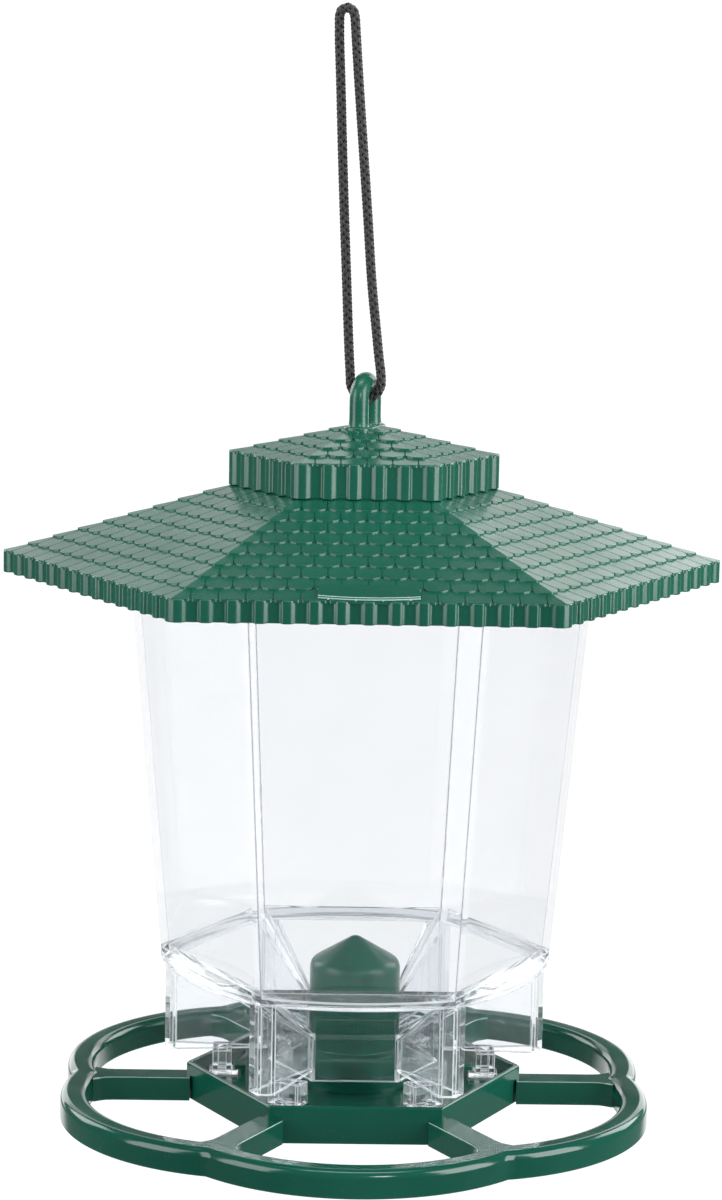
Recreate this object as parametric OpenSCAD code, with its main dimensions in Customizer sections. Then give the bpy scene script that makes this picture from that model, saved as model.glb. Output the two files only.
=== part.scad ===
// Hanging hexagonal bird feeder: a two-tier shingled roof on a cord loop, a clear tapered seed
// hopper with six feeding ports, and a dished tray with six spokes and a lobed perch ring.
// Millimetres, +Z up. The origin is the seat of the hook, under the fold at the top of the cord.

/* [Roof] */
// Distance from the middle to a corner of the eave
roof_r = 110; // [104:1:118]
// Rise of the lower roof from the eave to the edge of the cap, along a hip
roof_rise = 21.3; // [18:0.1:24]
// Height of the ribbed band along the eave
eave_band_h = 6.7; // [5:0.1:9]
// Distance from the middle to a corner of the roof cap
cap_r = 41.7; // [38:0.1:46]
// Height of the ribbed band round the cap
cap_band_h = 10.3; // [8:0.1:12]
// Rise of the cap above its band
cap_rise = 9.8; // [8:0.1:12]
// Thickness of the roof mouldings
roof_wall = 2; // [1.6:0.1:2.6]
// Width of the smooth thumb pad at the front of the eave
pad_w = 28.4; // [20:0.1:36]

/* [Hanger] */
// Diameter of the arch's rod
arch_rod = 5.9; // [5:0.1:6.4]
// Distance between the middles of the arch's legs
arch_span = 11.2; // [10.8:0.1:13]
// Height of the arch above the tip of the cap
arch_h = 14.6; // [13:0.1:17]
// Turn of the arch about the feeder's axis, from the front-to-back line
arch_turn = 21; // [0:1:45]
// Diameter of the hanging cord
cord_d = 3.3; // [3:0.1:3.4]

/* [Hopper] */
// Corner radius of the hopper at its open top
hopper_top_r = 72.1; // [68:0.1:76]
// Corner radius of the hopper at its lower edge
hopper_low_r = 60.4; // [58:0.1:62]
// Thickness of the clear walls
hopper_wall = 2.5; // [2:0.1:3]
// Corner radius of the feed tube, outside
tube_r = 27; // [25:0.1:29]
// How far each port hood stands out at its middle
hood_reach = 5.5; // [4:0.1:7]
// Radius of the centre post
post_r = 14; // [12:0.1:15]

/* [Tray] */
// Distance from the middle to a corner of the tray
tray_r = 52.2; // [51.5:0.1:54]
// Height of the tray's wall
tray_h = 11.6; // [10:0.1:13]
// Thickness of the tray's wall
tray_wall = 1.7; // [1.4:0.1:1.8]
// Greatest reach of a perch lobe from the middle
perch_r = 94.6; // [92:0.1:98]
// Reach of the notch between two lobes
notch_r = 88; // [86:0.1:89]
// Width and height of the perch rail
rail_w = 8.3; // [7:0.1:9]
// Width of a spoke
spoke_w = 8.7; // [7:0.1:10]

/* [Hidden] */

sides = 6;
side_turn = 360 / sides;
flat_ratio = cos(30);          // flat distance of a hexagon over its corner radius
smooth = 96;                   // facets asked of a large round
small_smooth = 48;             // facets asked of a small round
eps = 0.01;                    // overrun of a cutting body
joint_gap = 0.05;              // hairline between neighbours of one moulding

roof_color = [0.15, 0.39, 0.31];
base_color = [0.08, 0.36, 0.27];
clear_color = [0.93, 0.95, 0.97, 0.45];
cord_color = [0.2, 0.19, 0.18];

// Heights below are measured from the upper edge of the eave, inside feeder()
roof_slope = roof_rise / (roof_r - cap_r);
cap_low_z = roof_rise;
cap_edge_z = cap_low_z + cap_band_h;
cap_tip_z = cap_edge_z + cap_rise;
skin = roof_wall / flat_ratio; // wall thickness measured along a corner radius
roof_eye_r = 34;               // corner radius of the lower roof's hole under the cap
pad_len = 8.6;                 // run of the thumb pad down the roof
pad_t = 1.2;                   // how far the thumb pad stands out
pad_inset = 0.4;               // pad edge back from the eave
facet_slope = roof_slope / flat_ratio;

// Arch: its crown is a half ring, and the feeder swings about that ring's middle
arch_top_z = cap_tip_z + arch_h;
crown_r = arch_span / 2;
swing_z = arch_top_z - arch_rod / 2 - crown_r;

// Cord loop, in its own upright plane: [along, up] from the hook seat, chosen by hand.
// It starts under the crown, goes up one strand, over the fold, and back down the other.
loop_route = [
    [8, -114.75], [6.7, -114.6], [5.5, -114.1], [4.5, -113.3], [3.7, -112.2], [3.2, -111],
    [3.05, -109.6], [2.9, -107], [2.6, -103], [2.1, -95], [1.3, -80], [0.2, -60], [-0.8, -40],
    [-1.7, -20], [-2.3, -8], [-2.4, -3], [-2.4, -1], [-2.2, 0.1], [-1.7, 0.95], [-0.9, 1.5],
    [0, 1.65], [0.9, 1.5], [1.7, 0.95], [2.2, 0.1], [2.5, -1], [2.7, -3], [3.1, -8], [4.1, -20],
    [5.9, -40], [7.7, -60], [9.4, -80], [11.2, -95], [12.2, -103], [12.8, -107], [12.95, -109.6],
    [12.8, -111], [12.3, -112.2], [11.5, -113.3], [10.5, -114.1], [9.3, -114.6]
];
arch_along = 8;                // place of the arch along the loop's plane
crown_z = -109.8;              // height of the crown's rod, under the hook seat
cord_sides = 8;

// The feeder's own frame: upright axis under the arch, heights from the eave's upper edge
feeder_x = arch_along * cos(arch_turn);
feeder_y = -arch_along * sin(arch_turn);
feeder_z = crown_z - (arch_top_z - arch_rod / 2);

// Hopper heights
hopper_top_z = 4;
wall_low_z = -127.6;
funnel_top_z = -123.2;
funnel_low_z = -143.5;
funnel_t = 2.4;                // thickness of the funnel, measured upright
tube_low_z = -159.5;
tube_wall = 1.6;
hood_h = 4.1;
corner_wall = hopper_wall / flat_ratio;
collar_gap = 0.45;             // sliding room between hopper and collar
collar_low_z = -3;

// Port dividers and feet: radial and crosswise places
divider_low_z = -155.5;
divider_r = 59;
divider_flat = 5.2;            // length of each outer flat beside the corner
divider_in_w = 3.2;            // width where the divider meets the feed tube
divider_wall = 1.5;
leg_in_r = 38;
leg_out_r = 44;
leg_w = 10.6;
leg_wall = 1.6;
toe_z = -163.9;
toe_t = 1.5;
toe_in_r = 36;
toe_out_r = 45;
toe_w = 6;

// Tray heights
tray_top_z = -160.4;
tray_low_z = tray_top_z - tray_h;
floor_top_z = toe_z - 0.3;
floor_t = 2;
lug_in_r = 33.5;
lug_out_r = 37.2;
lug_web = 1.7;
lug_top_z = -160.7;
lug_under_z = toe_z + toe_t + 0.4;
lug_from = -1.5;               // crosswise start of a lug
lug_w = 4.5;
post_shoulder_z = -127.4;
post_tip_z = -119.4;
flange_r = post_r + 6;          // foot of the post on the tray's floor
flange_top_z = floor_top_z + 1.2;
step_r = post_r + 4.5;
step_top_z = floor_top_z + 2.4;
collar_r = post_r + 2.5;
collar_top_z = -154.4;
rail_low_z = tray_low_z;
rail_top_z = rail_low_z + rail_w;
rail_round = 2.6;
rail_wall = 1.8;
spoke_h = rail_w - 0.8;         // a spoke lies a little lower than the rail
spoke_wall = 1.8;

// A perch lobe is an arc through two notches and the lobe's middle
lobe_rise = perch_r - notch_r * flat_ratio;
lobe_r = (pow(notch_r / 2, 2) + pow(lobe_rise, 2)) / (2 * lobe_rise);
lobe_mid = perch_r - lobe_r;
rail_in_r = lobe_r - rail_w;

function hopper_r(z) =
    hopper_low_r + (hopper_top_r - hopper_low_r) * (z - wall_low_z) / (hopper_top_z - wall_low_z);
function roof_z(r) = (roof_r - r) * roof_slope;
function next(i, n) = (i + 1) % n;

// Places the feeder's own frame under the cord
module feeder() translate([feeder_x, feeder_y, feeder_z]) children();

// Straight side of a hexagonal shell from corner k to the next, with the cross-section
// profile = [[corner radius, height], ...], given anticlockwise
module hex_side(k, profile) {
    n = len(profile);
    points = [for (c = [k, k + 1]) for (p = profile)
        [p[0] * cos(side_turn * c), p[0] * sin(side_turn * c), p[1]]];
    caps = [[for (i = [n - 1 : -1 : 0]) i], [for (i = [0 : n - 1]) n + i]];
    skins = [for (i = [0 : n - 1]) [next(i, n), n + next(i, n), n + i, i]];
    polyhedron(points, concat(caps, skins));
}

// Whole hexagonal ring with the same kind of cross-section
module hex_ring(profile) {
    n = len(profile);
    points = [for (c = [0 : sides - 1]) for (p = profile)
        [p[0] * cos(side_turn * c), p[0] * sin(side_turn * c), p[1]]];
    skins = [for (c = [0 : sides - 1]) for (i = [0 : n - 1])
        [c * n + next(i, n), next(c, sides) * n + next(i, n), next(c, sides) * n + i, c * n + i]];
    polyhedron(points, skins);
}

module hex_prism(r, z_low, z_high) translate([0, 0, z_low])
    linear_extrude(z_high - z_low) circle(r, $fn = sides);

module hex_tube(r_out, r_in, z_low, z_high) translate([0, 0, z_low])
    linear_extrude(z_high - z_low) difference() {
        circle(r_out, $fn = sides);
        circle(r_in, $fn = sides);
    }

// Wedge of one sixth of the plan, centred on the direction at
module sixth(at, reach, z_low, z_high) rotate(at) translate([0, 0, z_low])
    linear_extrude(z_high - z_low)
        polygon([[0, 0], [reach, -reach * tan(30)], [reach, reach * tan(30)]]);

// Hanging cord: one closed tube swept along loop_route
module cord_loop() {
    n = len(loop_route);
    across = [sin(arch_turn), cos(arch_turn), 0];
    along = [cos(arch_turn), -sin(arch_turn), 0];
    points = [for (i = [0 : n - 1]) let(
            before = loop_route[(i + n - 1) % n],
            after = loop_route[next(i, n)],
            run = (after - before) / norm(after - before),
            middle = along * loop_route[i][0] + [0, 0, loop_route[i][1]],
            out = -along * run[1] + [0, 0, run[0]])
        for (s = [0 : cord_sides - 1]) let(a = 360 / cord_sides * (s + 0.5))
            middle + (out * cos(a) + across * sin(a)) * cord_d / 2];
    faces = [for (i = [0 : n - 1]) for (s = [0 : cord_sides - 1])
        [i * cord_sides + s, i * cord_sides + next(s, cord_sides),
         next(i, n) * cord_sides + next(s, cord_sides), next(i, n) * cord_sides + s]];
    color(cord_color) polyhedron(points, faces);
}

// Lower roof: six facets with a hanging band along the eave
module roof_lower() color(roof_color) feeder() hex_ring([
    [roof_r, -eave_band_h], [roof_r, 0], [roof_eye_r, roof_z(roof_eye_r)],
    [roof_eye_r, roof_z(roof_eye_r) - roof_wall * 1.1], [roof_r - skin, -roof_wall * 0.7],
    [roof_r - skin, -eave_band_h]
]);

// Roof cap: a closed second tier that stands on the lower roof
module roof_cap() color(roof_color) feeder() {
    hex_ring([
        [cap_r, roof_z(cap_r)], [cap_r, cap_edge_z], [cap_r - skin, cap_edge_z - roof_wall / 2],
        [cap_r - skin, roof_z(cap_r - skin)]
    ]);
    difference() {
        translate([0, 0, cap_edge_z]) cylinder(cap_rise, cap_r, 0, $fn = sides);
        translate([0, 0, cap_edge_z - roof_wall])
            cylinder(cap_rise, cap_r, 0, $fn = sides);
    }
    // Underside between the band and the sloping top
    difference() {
        hex_prism(cap_r - skin / 2, cap_edge_z - roof_wall, cap_edge_z);
        translate([0, 0, cap_edge_z - roof_wall - eps])
            cylinder(cap_rise + eps, cap_r - skin, 0, $fn = sides);
    }
}

// Arch that the cord passes through: two legs and a half-ring crown
module hanger_arch() color(roof_color) feeder() rotate(90 - arch_turn) {
    for (side = [-1, 1]) translate([side * crown_r, 0, cap_tip_z - 2.4])
        cylinder(swing_z - cap_tip_z + 2.4, d = arch_rod, $fn = small_smooth);
    translate([0, 0, swing_z]) rotate([90, 0, 0])
        rotate_extrude(angle = 180, $fn = small_smooth) translate([crown_r, 0])
            circle(d = arch_rod, $fn = small_smooth);
}

// Smooth pad for the thumb, on the front facet at the eave
module thumb_pad() color(roof_color) feeder()
    translate([0, -roof_r * flat_ratio + pad_inset, pad_inset * facet_slope])
        rotate([atan(facet_slope), 0, 0]) translate([-pad_w / 2, 0, 0.02])
            cube([pad_w, pad_len, pad_t]);

// Collar under the roof, which grips the top of the hopper
module roof_collar() color(roof_color) feeder() hex_ring(let(
        in_r = hopper_top_r + collar_gap,
        out_r = in_r + skin,
        lid = roof_wall * 1.1 + 0.1
    ) [
        [out_r, collar_low_z], [out_r, roof_z(out_r) - lid], [in_r, roof_z(in_r) - lid],
        [in_r, collar_low_z]
    ]);

// Clear wall of the hopper on side k
module hopper_wall(k) color(clear_color) feeder() hex_side(k, [
    [hopper_low_r, wall_low_z], [hopper_top_r, hopper_top_z],
    [hopper_top_r - corner_wall, hopper_top_z], [hopper_low_r - corner_wall, wall_low_z]
]);

// Curved hood over the port on side k
module port_hood(k) color(clear_color) feeder() {
    half = hopper_low_r / 2;
    bend = (pow(half, 2) + pow(hood_reach, 2)) / (2 * hood_reach);
    face = hopper_r(wall_low_z + hood_h) * flat_ratio + joint_gap;
    rotate(side_turn * (k + 0.5)) translate([0, 0, wall_low_z])
        linear_extrude(hood_h) difference() {
            translate([face + hood_reach - bend, 0]) circle(bend, $fn = smooth);
            translate([face - 3 * bend, -2 * bend]) square([3 * bend, 4 * bend]);
        }
}

// Sloping floor that sends the seed into the feed tube
module funnel_floor() color(clear_color) feeder() let(
        top_r = hopper_r(funnel_top_z - funnel_t) - corner_wall - joint_gap
    ) hex_ring([
        [top_r, funnel_top_z - funnel_t], [top_r, funnel_top_z], [tube_r, funnel_low_z],
        [tube_r - tube_wall, funnel_low_z], [tube_r - tube_wall, funnel_low_z - funnel_t],
        [tube_r, funnel_low_z - funnel_t]
    ]);

// Six-sided tube round the centre post
module feed_tube() color(clear_color) feeder()
    hex_tube(tube_r, tube_r - tube_wall, tube_low_z, funnel_low_z - funnel_t);

// Plan of a divider, pointing along +X
module divider_plan() polygon([
    [divider_r, 0], [divider_r - divider_flat / 2, divider_flat * flat_ratio],
    [tube_r + 2 * joint_gap, divider_in_w / 2], [tube_r + 2 * joint_gap, -divider_in_w / 2],
    [divider_r - divider_flat / 2, -divider_flat * flat_ratio]
]);

// Hollow wall between two ports, at corner k, under the funnel's slope
module port_divider(k) color(clear_color) feeder() rotate(side_turn * k) {
    top_r = hopper_r(funnel_top_z) - corner_wall;
    slope = (funnel_top_z - funnel_low_z) / (top_r - tube_r);
    under_z = funnel_low_z - funnel_t - 2 * joint_gap;
    difference() {
        translate([0, 0, divider_low_z])
            linear_extrude(wall_low_z - joint_gap - divider_low_z) divider_plan();
        translate([0, 0, divider_low_z - eps])
            linear_extrude(wall_low_z - divider_low_z) offset(delta = -divider_wall)
                divider_plan();
        // Space above the funnel's underside
        rotate([90, 0, 0]) linear_extrude(2 * divider_r, center = true) polygon([
            [0, under_z - tube_r * slope], [0, 0], [2 * top_r, 0],
            [2 * top_r, under_z + (2 * top_r - tube_r) * slope]
        ]);
    }
}

// Foot at corner k: a hollow leg with a flat toe that locks in the tray
module hopper_foot(k) color(clear_color) feeder() rotate(side_turn * k) {
    leg_low_z = toe_z + toe_t;
    leg_h = divider_low_z - leg_low_z;
    leg_len = leg_out_r - leg_in_r;
    translate([leg_in_r, -leg_w / 2, leg_low_z]) difference() {
        cube([leg_len, leg_w, leg_h]);
        translate([leg_wall, leg_wall, -eps])
            cube([leg_len - 2 * leg_wall, leg_w - 2 * leg_wall, leg_h + 2 * eps]);
    }
    translate([toe_in_r, -toe_w / 2, toe_z]) cube([toe_out_r - toe_in_r, toe_w, toe_t]);
}

// Six-sided dish; its floor lies part way up the wall
module tray_dish() color(base_color) feeder() {
    in_r = tray_r - tray_wall / flat_ratio;
    hex_tube(tray_r, in_r, tray_low_z, tray_top_z);
    hex_prism(in_r + eps, floor_top_z - floor_t, floor_top_z);
}

// Six hooked lugs on the tray's floor, over the inner ends of the toes
module tray_lugs() color(base_color) feeder() for (k = [0 : sides - 1])
    rotate(side_turn * k) {
        translate([lug_in_r, lug_from, floor_top_z])
            cube([lug_web, lug_w, lug_top_z - floor_top_z]);
        translate([lug_in_r, lug_from, lug_under_z])
            cube([lug_out_r - lug_in_r, lug_w, lug_top_z - lug_under_z]);
    }

// Centre post with a conical top and a stepped foot, which spreads the seed
module seed_post() color(base_color) feeder() rotate_extrude($fn = smooth) polygon([
    [0, floor_top_z], [flange_r, floor_top_z], [flange_r, flange_top_z], [step_r, step_top_z],
    [collar_r, step_top_z + 0.6], [collar_r, collar_top_z], [post_r, collar_top_z + 0.8],
    [post_r, post_shoulder_z], [0, post_tip_z]
]);

// Spoke at corner k: an inverted channel from the tray's corner to the notch in the rail
module spoke(k) color(base_color) feeder() rotate(side_turn * k)
    translate([0, 0, tray_low_z]) intersection() {
        rotate([90, 0, 90]) linear_extrude(notch_r) difference() {
            translate([-spoke_w / 2, 0]) square([spoke_w, spoke_h]);
            translate([-spoke_w / 2 + spoke_wall, -1])
                square([spoke_w - 2 * spoke_wall, spoke_h - spoke_wall + 1]);
        }
        // Plan between the tray and the inner edge of the rail
        linear_extrude(rail_w) difference() {
            for (side = [-30, 30]) rotate(side) translate([lobe_mid, 0])
                circle(rail_in_r - joint_gap, $fn = smooth);
            circle(tray_r + joint_gap, $fn = sides);
        }
    }

// Cross-section of the perch rail, an inverted channel with a round top
module rail_section() difference() {
    union() {
        translate([rail_in_r, 0]) square([rail_w, rail_w - rail_round]);
        translate([rail_in_r + rail_round, 0]) square([rail_w - 2 * rail_round, rail_w]);
        for (x = [rail_in_r + rail_round, lobe_r - rail_round])
            translate([x, rail_w - rail_round]) circle(rail_round, $fn = small_smooth);
    }
    translate([rail_in_r + rail_wall, -1]) square([rail_w - 2 * rail_wall, rail_w - rail_wall]);
}

// Perch lobe on side k
module perch(k) color(base_color) feeder() intersection() {
    rotate(side_turn * (k + 0.5)) translate([lobe_mid, 0, rail_low_z]) rotate(-60)
        rotate_extrude(angle = 120, $fn = smooth) rail_section();
    sixth(side_turn * (k + 0.5), perch_r + 5, rail_low_z - 1, rail_top_z + 1);
}

cord_loop();
roof_lower();
roof_cap();
hanger_arch();
thumb_pad();
roof_collar();
funnel_floor();
feed_tube();
tray_dish();
tray_lugs();
seed_post();
for (k = [1 : sides]) {
    hopper_wall(k - 1);
    port_hood(k - 1);
    port_divider(k - 1);
    hopper_foot(k - 1);
    spoke(k - 1);
    perch(k - 1);
}
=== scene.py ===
# Hanging hexagonal bird feeder: the looks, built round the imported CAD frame.
import math

import bpy
import bmesh
from mathutils import Matrix, Vector


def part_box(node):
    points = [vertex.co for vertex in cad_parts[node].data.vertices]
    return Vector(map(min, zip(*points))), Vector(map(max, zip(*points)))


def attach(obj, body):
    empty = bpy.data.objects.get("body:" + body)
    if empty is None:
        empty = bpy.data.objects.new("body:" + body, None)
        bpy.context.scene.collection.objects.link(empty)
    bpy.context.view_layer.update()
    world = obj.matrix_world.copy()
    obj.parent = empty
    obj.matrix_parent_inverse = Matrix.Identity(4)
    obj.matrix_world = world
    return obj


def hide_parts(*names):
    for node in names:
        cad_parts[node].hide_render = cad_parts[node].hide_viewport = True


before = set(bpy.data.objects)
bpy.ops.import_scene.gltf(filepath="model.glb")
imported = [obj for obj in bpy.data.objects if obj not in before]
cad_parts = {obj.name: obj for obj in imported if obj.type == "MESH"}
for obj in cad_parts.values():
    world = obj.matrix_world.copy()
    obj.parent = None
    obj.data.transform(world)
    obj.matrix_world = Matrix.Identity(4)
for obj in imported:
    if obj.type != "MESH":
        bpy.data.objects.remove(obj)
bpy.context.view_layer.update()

MM = 0.001
SIDES = 6
TURN = math.pi / 3            # from one side of the hexagon to the next
FLAT = math.cos(math.pi / 6)  # flat distance of a hexagon over its corner radius

# The feeder's own frame: upright axis, heights in mm from the eave's upper edge
low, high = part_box("roof_lower")
EAVE_BAND = 6.7
AXIS = Vector(((low.x + high.x) / 2, (low.y + high.y) / 2, low.z + EAVE_BAND * MM))
ARCH_TURN = math.radians(21)


def place(p):
    """A point in mm in the feeder's own frame, as metres in the row frame."""
    return (AXIS.x + p[0] * MM, AXIS.y + p[1] * MM, AXIS.z + p[2] * MM)


# ---------------------------------------------------------------- camera

FOCAL_PX, FRAME_PX = 3175.7129, 1200
CAMERA_OFFSET = Vector((-0.0002325, -0.96139, 0.131412))  # from the eave's axis, in metres


def make_camera():
    """The photograph's view: level bearing, tilt and lens from the corners of the feeder."""
    pitch, roll, turn = -0.15, -0.0182, 0.0219
    right = Vector((1, 0, 0))
    forward = Vector((0, math.cos(pitch), math.sin(pitch)))
    up = Vector((0, -math.sin(pitch), math.cos(pitch)))
    cam_x = right * math.cos(roll) - up * math.sin(roll)
    cam_y = right * math.sin(roll) + up * math.cos(roll)
    spin = Matrix.Rotation(-turn, 3, "Z")
    x, y, z = spin @ cam_x, spin @ cam_y, spin @ -forward
    at = AXIS + spin @ CAMERA_OFFSET
    data = bpy.data.cameras.new("camera")
    data.sensor_fit = "AUTO"
    data.sensor_width = 36.0
    data.lens = data.sensor_width * FOCAL_PX / FRAME_PX
    data.clip_start = 0.05
    cam = bpy.data.objects.new("camera", data)
    bpy.context.collection.objects.link(cam)
    cam.matrix_world = Matrix((
        (x.x, y.x, z.x, at.x), (x.y, y.y, z.y, at.y), (x.z, y.z, z.z, at.z), (0, 0, 0, 1)))
    bpy.context.scene.camera = cam


make_camera()


# ---------------------------------------------------------------- node helpers

class Nodes:
    """A new material, with a few short calls for its node tree."""

    def __init__(self, name):
        self.mat = bpy.data.materials.new(name)
        self.mat.use_nodes = True
        self.tree = self.mat.node_tree
        self.shader = self.tree.nodes["Principled BSDF"]
        coords = self.tree.nodes.new("ShaderNodeTexCoord")
        self.where = coords.outputs["Object"]

    def link(self, a, b):
        self.tree.links.new(a, b)

    def scaled(self, scale):
        node = self.tree.nodes.new("ShaderNodeMapping")
        node.inputs["Scale"].default_value = scale
        self.link(self.where, node.inputs["Vector"])
        return node.outputs["Vector"]

    def noise(self, scale, detail=3.0, rough=0.5, stretch=None):
        node = self.tree.nodes.new("ShaderNodeTexNoise")
        node.inputs["Scale"].default_value = scale
        node.inputs["Detail"].default_value = detail
        node.inputs["Roughness"].default_value = rough
        self.link(self.scaled(stretch) if stretch else self.where, node.inputs["Vector"])
        return node.outputs["Fac"]

    def ramp(self, value, *stops):
        node = self.tree.nodes.new("ShaderNodeValToRGB")
        ramp = node.color_ramp
        while len(ramp.elements) < len(stops):
            ramp.elements.new(0.5)
        for element, (at, colour) in zip(ramp.elements, stops):
            element.position = at
            element.color = colour if len(colour) == 4 else (*colour, 1)
        self.link(value, node.inputs["Fac"])
        return node.outputs["Color"]

    def span(self, value, a0, a1, b0, b1):
        node = self.tree.nodes.new("ShaderNodeMapRange")
        for name, x in (("From Min", a0), ("From Max", a1), ("To Min", b0), ("To Max", b1)):
            node.inputs[name].default_value = x
        self.link(value, node.inputs["Value"])
        return node.outputs["Result"]

    def mix(self, fac, a, b, how="MIX"):
        node = self.tree.nodes.new("ShaderNodeMix")
        node.data_type = "RGBA"
        node.blend_type = how
        for socket, value in ((node.inputs[0], fac), (node.inputs[6], a), (node.inputs[7], b)):
            if isinstance(value, (int, float)):
                socket.default_value = value
            elif isinstance(value, tuple):
                socket.default_value = (*value, 1)
            else:
                self.link(value, socket)
        return node.outputs[2]

    def maths(self, how, a, b):
        node = self.tree.nodes.new("ShaderNodeMath")
        node.operation = how
        for socket, value in ((node.inputs[0], a), (node.inputs[1], b)):
            if isinstance(value, (int, float)):
                socket.default_value = value
            else:
                self.link(value, socket)
        return node.outputs["Value"]

    def rim(self):
        """1 on the faces marked as a piece's narrow edges, 0 elsewhere."""
        node = self.tree.nodes.new("ShaderNodeAttribute")
        node.attribute_name = "rim"
        return node.outputs["Fac"]

    def bump(self, height, strength, distance, normal=None):
        node = self.tree.nodes.new("ShaderNodeBump")
        node.inputs["Strength"].default_value = strength
        node.inputs["Distance"].default_value = distance
        self.link(height, node.inputs["Height"])
        if normal:
            self.link(normal, node.inputs["Normal"])
        return node.outputs["Normal"]


def green_plastic(name, dark, mid, light, rough, gloss=0.5):
    """Glossy moulded plastic: slow colour drift, fine flow marks, dust, worn edges, and a painted
    highlight on the faces marked as narrow edges.
    """
    n = Nodes(name)
    colour = n.ramp(n.noise(14, 3, 0.55), (0.32, dark), (0.52, mid), (0.72, light))
    specks = n.noise(2300, 2, 0.6)
    colour = n.mix(n.span(specks, 0.66, 0.8, 0, 0.22), colour, tuple(0.6 * c for c in dark))
    dust = n.noise(420, 4, 0.65)
    colour = n.mix(n.span(dust, 0.6, 0.85, 0, 0.07), colour, (0.3, 0.36, 0.33))
    edge = n.tree.nodes.new("ShaderNodeNewGeometry").outputs["Pointiness"]
    worn = n.span(edge, 0.54, 0.66, 0, 0.3)
    colour = n.mix(worn, colour, tuple(1.35 * c + 0.01 for c in light))
    # Painted highlight: faces marked as narrow edges are mixed towards a pale green.
    colour = n.mix(n.span(n.rim(), 0, 1, 0, 0.85), colour, (0.4, 0.56, 0.5))
    n.link(colour, n.shader.inputs["Base Color"])
    smear = n.noise(70, 4, 0.6, (1, 1, 0.3))
    n.link(n.span(smear, 0.3, 0.72, rough - 0.03, rough + 0.06), n.shader.inputs["Roughness"])
    first = n.bump(n.noise(120, 2, 0.5), 0.1, 0.0002)
    n.link(n.bump(n.noise(3600, 2, 0.5), 0.05, 0.00004, first), n.shader.inputs["Normal"])
    n.shader.inputs["IOR"].default_value = 1.5
    n.shader.inputs["Specular IOR Level"].default_value = gloss
    return n.mat


def clear_plastic(name, tint, ior, milk, edge, line, rough=0.012):
    """Clear moulded plastic: glossy skin, flow marks, scuffs, and painted lines on the faces marked
    as narrow edges, dark ones as painted shade and pale ones as a painted highlight.
    """
    n = Nodes(name)
    haze = n.noise(40, 3, 0.5)
    colour = n.ramp(haze, (0.3, tint), (0.75, tuple(0.985 * c for c in tint)))
    # Painted edge lines: faces marked as narrow edges take the line colour, a painted shade when dark
    # and a painted highlight when pale.
    colour = n.mix(n.rim(), colour, line)
    n.link(colour, n.shader.inputs["Base Color"])
    scuff = n.noise(150, 5, 0.7, (1, 1, 0.18))
    n.link(n.span(scuff, 0.55, 0.85, rough, rough + 0.06), n.shader.inputs["Roughness"])
    flow = n.noise(24, 2, 0.4, (1, 1, 0.45))
    lines = n.noise(700, 2, 0.5, (1, 0.06, 0.1))
    first = n.bump(flow, 0.12, 0.0004)
    n.link(n.bump(n.span(lines, 0.66, 0.7, 0, 1), 0.5, 0.00003, first),
           n.shader.inputs["Normal"])
    rub = n.span(n.noise(300, 4, 0.65, (0.3, 1, 1.1)), 0.62, 0.72, 0, 5 * milk)
    # Real haze and scuffs, plus the painted edge lines, which are made less clear by the edge amount.
    haze_and_painted_edge = n.maths("ADD", n.maths("MULTIPLY", n.rim(), edge), n.maths("ADD", rub, milk))
    n.link(n.span(haze_and_painted_edge, 0, 1, 1, 0), n.shader.inputs["Transmission Weight"])
    n.shader.inputs["IOR"].default_value = ior
    n.shader.inputs["Coat Weight"].default_value = 1.0
    n.shader.inputs["Coat Roughness"].default_value = 0.03
    n.shader.inputs["Coat IOR"].default_value = 1.42
    return n.mat


def black_fibre(name):
    """Spun black fibre: fine twist along each strand, greyer where it is rubbed."""
    n = Nodes(name)
    fluff = n.noise(900, 3, 0.6)
    colour = n.ramp(fluff, (0.25, (0.012, 0.011, 0.011)), (0.6, (0.035, 0.033, 0.032)),
                    (0.85, (0.085, 0.082, 0.078)))
    n.link(colour, n.shader.inputs["Base Color"])
    n.link(n.span(fluff, 0.3, 0.8, 0.55, 0.85), n.shader.inputs["Roughness"])
    n.link(n.bump(n.noise(6000, 2, 0.5), 0.5, 0.00012), n.shader.inputs["Normal"])
    n.shader.inputs["Sheen Weight"].default_value = 0.35
    n.shader.inputs["Sheen Roughness"].default_value = 0.5
    return n.mat


ROOF = green_plastic("roof_plastic", (0.005, 0.088, 0.054), (0.006, 0.1, 0.062),
                     (0.009, 0.114, 0.071), 0.26)
BASE = green_plastic("base_plastic", (0.003, 0.066, 0.042), (0.004, 0.078, 0.05),
                     (0.006, 0.09, 0.058), 0.12)
POST = green_plastic("post_plastic", (0.003, 0.06, 0.04), (0.004, 0.068, 0.045),
                     (0.006, 0.078, 0.052), 0.2, 0.22)
# The wall's edge-line colour is dark: painted shade along its edges, standing in for the dark bands
# that refraction gives there.
CLEAR_WALL = clear_plastic("clear_wall", (0.93, 0.94, 0.952), 1.02, 0.003, 0.35,
                           (0.3, 0.29, 0.36))
# The edge-line colour of the other clear parts is pale: a painted highlight along their edges.
CLEAR = clear_plastic("clear_plastic", (0.94, 0.955, 0.972), 1.07, 0.02, 0.5,
                      (0.9, 0.93, 0.96))
FIBRE = black_fibre("cord_fibre")


# ---------------------------------------------------------------- mesh helpers

def outward(bm):
    """Turn every closed island of the mesh outwards."""
    bmesh.ops.recalc_face_normals(bm, faces=bm.faces)
    bm.normal_update()
    left = set(bm.faces)
    while left:
        todo = [left.pop()]
        island = []
        while todo:
            face = todo.pop()
            island.append(face)
            near = {f for e in face.edges for f in e.link_faces if f in left}
            left -= near
            todo.extend(near)
        if sum(f.calc_center_median().dot(f.normal) * f.calc_area() for f in island) < 0:
            bmesh.ops.reverse_faces(bm, faces=island)


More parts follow.
